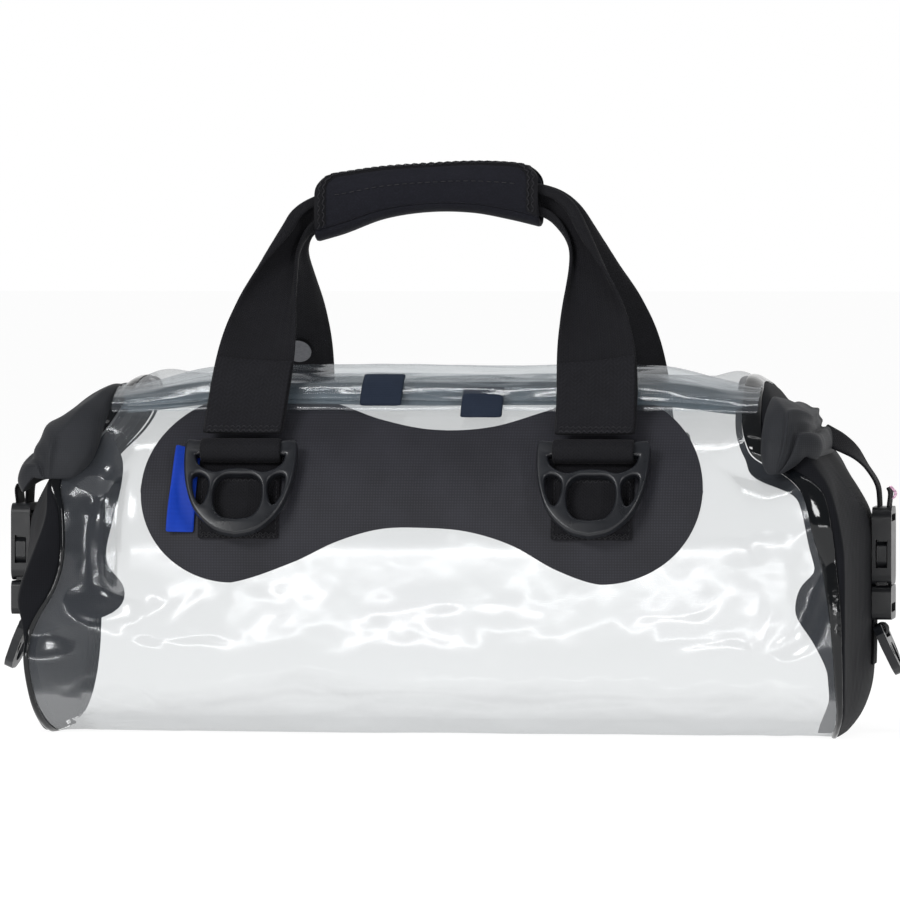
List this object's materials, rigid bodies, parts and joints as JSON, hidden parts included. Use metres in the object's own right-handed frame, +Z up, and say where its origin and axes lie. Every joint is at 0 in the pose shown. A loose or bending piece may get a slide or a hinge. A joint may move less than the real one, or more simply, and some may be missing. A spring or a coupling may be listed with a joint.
{
  "type": "dry bag",
  "caption": "Clear film dry duffel bag with a rolled top closure, black end panels, joined carry handle, D-rings and side-release end buckles.",
  "frame": {"origin": "middle of the bag's footprint, on the surface that it stands on", "axes": "+X along the bag to its right end, -Y to the front with the closure roll, +Z up"},
  "size_m": [0.423, 0.21, 0.262],
  "materials": {
    "clear_film": "clear glossy vinyl film, slightly grey",
    "rolled_film": "several layers of the same clear film",
    "panel_fabric": "black coated fabric, satin",
    "track_plastic": "smoke grey ribbed extrusion",
    "tab_fabric": "dark coated fabric",
    "patch_fabric": "charcoal coated fabric with a fine square weave",
    "webbing": "black woven webbing",
    "overlay_webbing": "black woven webbing with tonal stitching",
    "ring_plastic": "black moulded plastic, satin",
    "buckle_plastic": "black moulded plastic, satin",
    "snap_metal": "dull grey metal",
    "neoprene": "black knit-faced neoprene",
    "edge_binding": "black folded edge tape",
    "hook_and_loop": "black hook and loop strip",
    "label_cloth": "plain blue woven label",
    "tag_cloth": "small pale pink tag"
  },
  "bodies": {
    "bag": {"clear_body": "clear_film", "closure_roll": "rolled_film", "closure_track_front": "track_plastic", "closure_track_rear": "track_plastic", "front_handle_strap": "webbing", "front_left_anchor": "webbing", "front_left_strap_overlay": "overlay_webbing", "front_patch": "patch_fabric", "front_pull_tab": "tab_fabric", "front_right_anchor": "webbing", "front_right_strap_overlay": "overlay_webbing", "front_strap_snaps": "snap_metal", "left_anchor_strap": "webbing", "left_end_panel": "panel_fabric", "left_folded_ear": "panel_fabric", "left_male_buckle": "buckle_plastic", "left_upper_strap": "webbing", "rear_handle_strap": "webbing", "rear_left_anchor": "webbing", "rear_left_patch": "patch_fabric", "rear_left_strap_overlay": "overlay_webbing", "rear_pull_tab": "tab_fabric", "rear_right_anchor": "webbing", "rear_right_patch": "patch_fabric", "rear_right_strap_overlay": "overlay_webbing", "rear_strap_snaps": "snap_metal", "right_anchor_strap": "webbing", "right_end_panel": "panel_fabric", "right_folded_ear": "panel_fabric", "right_male_buckle": "buckle_plastic", "right_upper_strap": "webbing", "side_label": "label_cloth"},
    "front_left_ring_body": {"front_left_ring": "ring_plastic"},
    "front_right_ring_body": {"front_right_ring": "ring_plastic"},
    "rear_left_ring_body": {"rear_left_ring": "ring_plastic"},
    "rear_right_ring_body": {"rear_right_ring": "ring_plastic"},
    "left_end_ring_body": {"left_end_ring": "ring_plastic"},
    "left_socket": {"left_female_buckle": "buckle_plastic"},
    "left_front_prong_body": {"left_front_prong": "buckle_plastic"},
    "left_rear_prong_body": {"left_rear_prong": "buckle_plastic"},
    "right_end_ring_body": {"right_end_ring": "ring_plastic"},
    "right_socket": {"right_female_buckle": "buckle_plastic", "end_tag": "tag_cloth"},
    "right_front_prong_body": {"right_front_prong": "buckle_plastic"},
    "right_rear_prong_body": {"right_rear_prong": "buckle_plastic"},
    "carry_handle": {"wrap_rear_leaf": "neoprene", "wrap_rear_binding": "edge_binding", "wrap_loop_strip": "hook_and_loop"},
    "wrap_flap": {"wrap_front_leaf": "neoprene", "wrap_front_binding": "edge_binding", "wrap_hook_strip": "hook_and_loop"}
  },
  "joints": [
    {"name": "front_left_ring_swing", "type": "hinge", "parent": "bag", "child": "front_left_ring_body", "pos_m": [-0.085, -0.08419, 0.13104], "axis": [-1, 0, 0], "range_deg": [0, 120]},
    {"name": "front_right_ring_swing", "type": "hinge", "parent": "bag", "child": "front_right_ring_body", "pos_m": [0.077, -0.08419, 0.13104], "axis": [-1, 0, 0], "range_deg": [0, 120]},
    {"name": "rear_left_ring_swing", "type": "hinge", "parent": "bag", "child": "rear_left_ring_body", "pos_m": [-0.085, 0.08419, 0.13104], "axis": [1, 0, 0], "range_deg": [0, 120]},
    {"name": "rear_right_ring_swing", "type": "hinge", "parent": "bag", "child": "rear_right_ring_body", "pos_m": [0.077, 0.08419, 0.13104], "axis": [1, 0, 0], "range_deg": [0, 120]},
    {"name": "left_end_ring_swing", "type": "hinge", "parent": "bag", "child": "left_end_ring_body", "pos_m": [-0.2007, 0, 0.047], "axis": [0, 1, 0], "range_deg": [0, 60]},
    {"name": "left_buckle_release", "type": "slide", "parent": "bag", "child": "left_socket", "axis": [0, 0, 1], "range_m": [0, 0.03], "deforming": ["left_upper_strap", "left_front_prong", "left_rear_prong"]},
    {"name": "left_front_prong_squeeze", "type": "hinge", "parent": "bag", "child": "left_front_prong_body", "pos_m": [-0.2019, -0.0094, 0.068], "axis": [-1, 0, 0], "range_deg": [0, 8], "stiffness_Nm_per_rad": 0.05},
    {"name": "left_rear_prong_squeeze", "type": "hinge", "parent": "bag", "child": "left_rear_prong_body", "pos_m": [-0.2019, 0.0094, 0.068], "axis": [1, 0, 0], "range_deg": [0, 8], "stiffness_Nm_per_rad": 0.05},
    {"name": "right_end_ring_swing", "type": "hinge", "parent": "bag", "child": "right_end_ring_body", "pos_m": [0.2007, 0, 0.047], "axis": [0, -1, 0], "range_deg": [0, 60]},
    {"name": "right_buckle_release", "type": "slide", "parent": "bag", "child": "right_socket", "axis": [0, 0, 1], "range_m": [0, 0.03], "deforming": ["right_upper_strap", "right_front_prong", "right_rear_prong"]},
    {"name": "right_front_prong_squeeze", "type": "hinge", "parent": "bag", "child": "right_front_prong_body", "pos_m": [0.2019, -0.0094, 0.068], "axis": [-1, 0, 0], "range_deg": [0, 8], "stiffness_Nm_per_rad": 0.05},
    {"name": "right_rear_prong_squeeze", "type": "hinge", "parent": "bag", "child": "right_rear_prong_body", "pos_m": [0.2019, 0.0094, 0.068], "axis": [1, 0, 0], "range_deg": [0, 8], "stiffness_Nm_per_rad": 0.05},
    {"name": "handle_drop", "type": "slide", "parent": "bag", "child": "carry_handle", "axis": [0, 0, -1], "range_m": [0, 0.04], "deforming": ["front_handle_strap", "rear_handle_strap"]},
    {"name": "wrap_open", "type": "hinge", "parent": "carry_handle", "child": "wrap_flap", "pos_m": [-0.004, -0.0092, 0.2368], "axis": [1, 0, 0], "range_deg": [0, 150]}
  ],
  "couplings": [
    {"joint": "left_rear_prong_squeeze", "follows": "left_front_prong_squeeze", "ratio": 1},
    {"joint": "right_rear_prong_squeeze", "follows": "right_front_prong_squeeze", "ratio": 1}
  ]
}
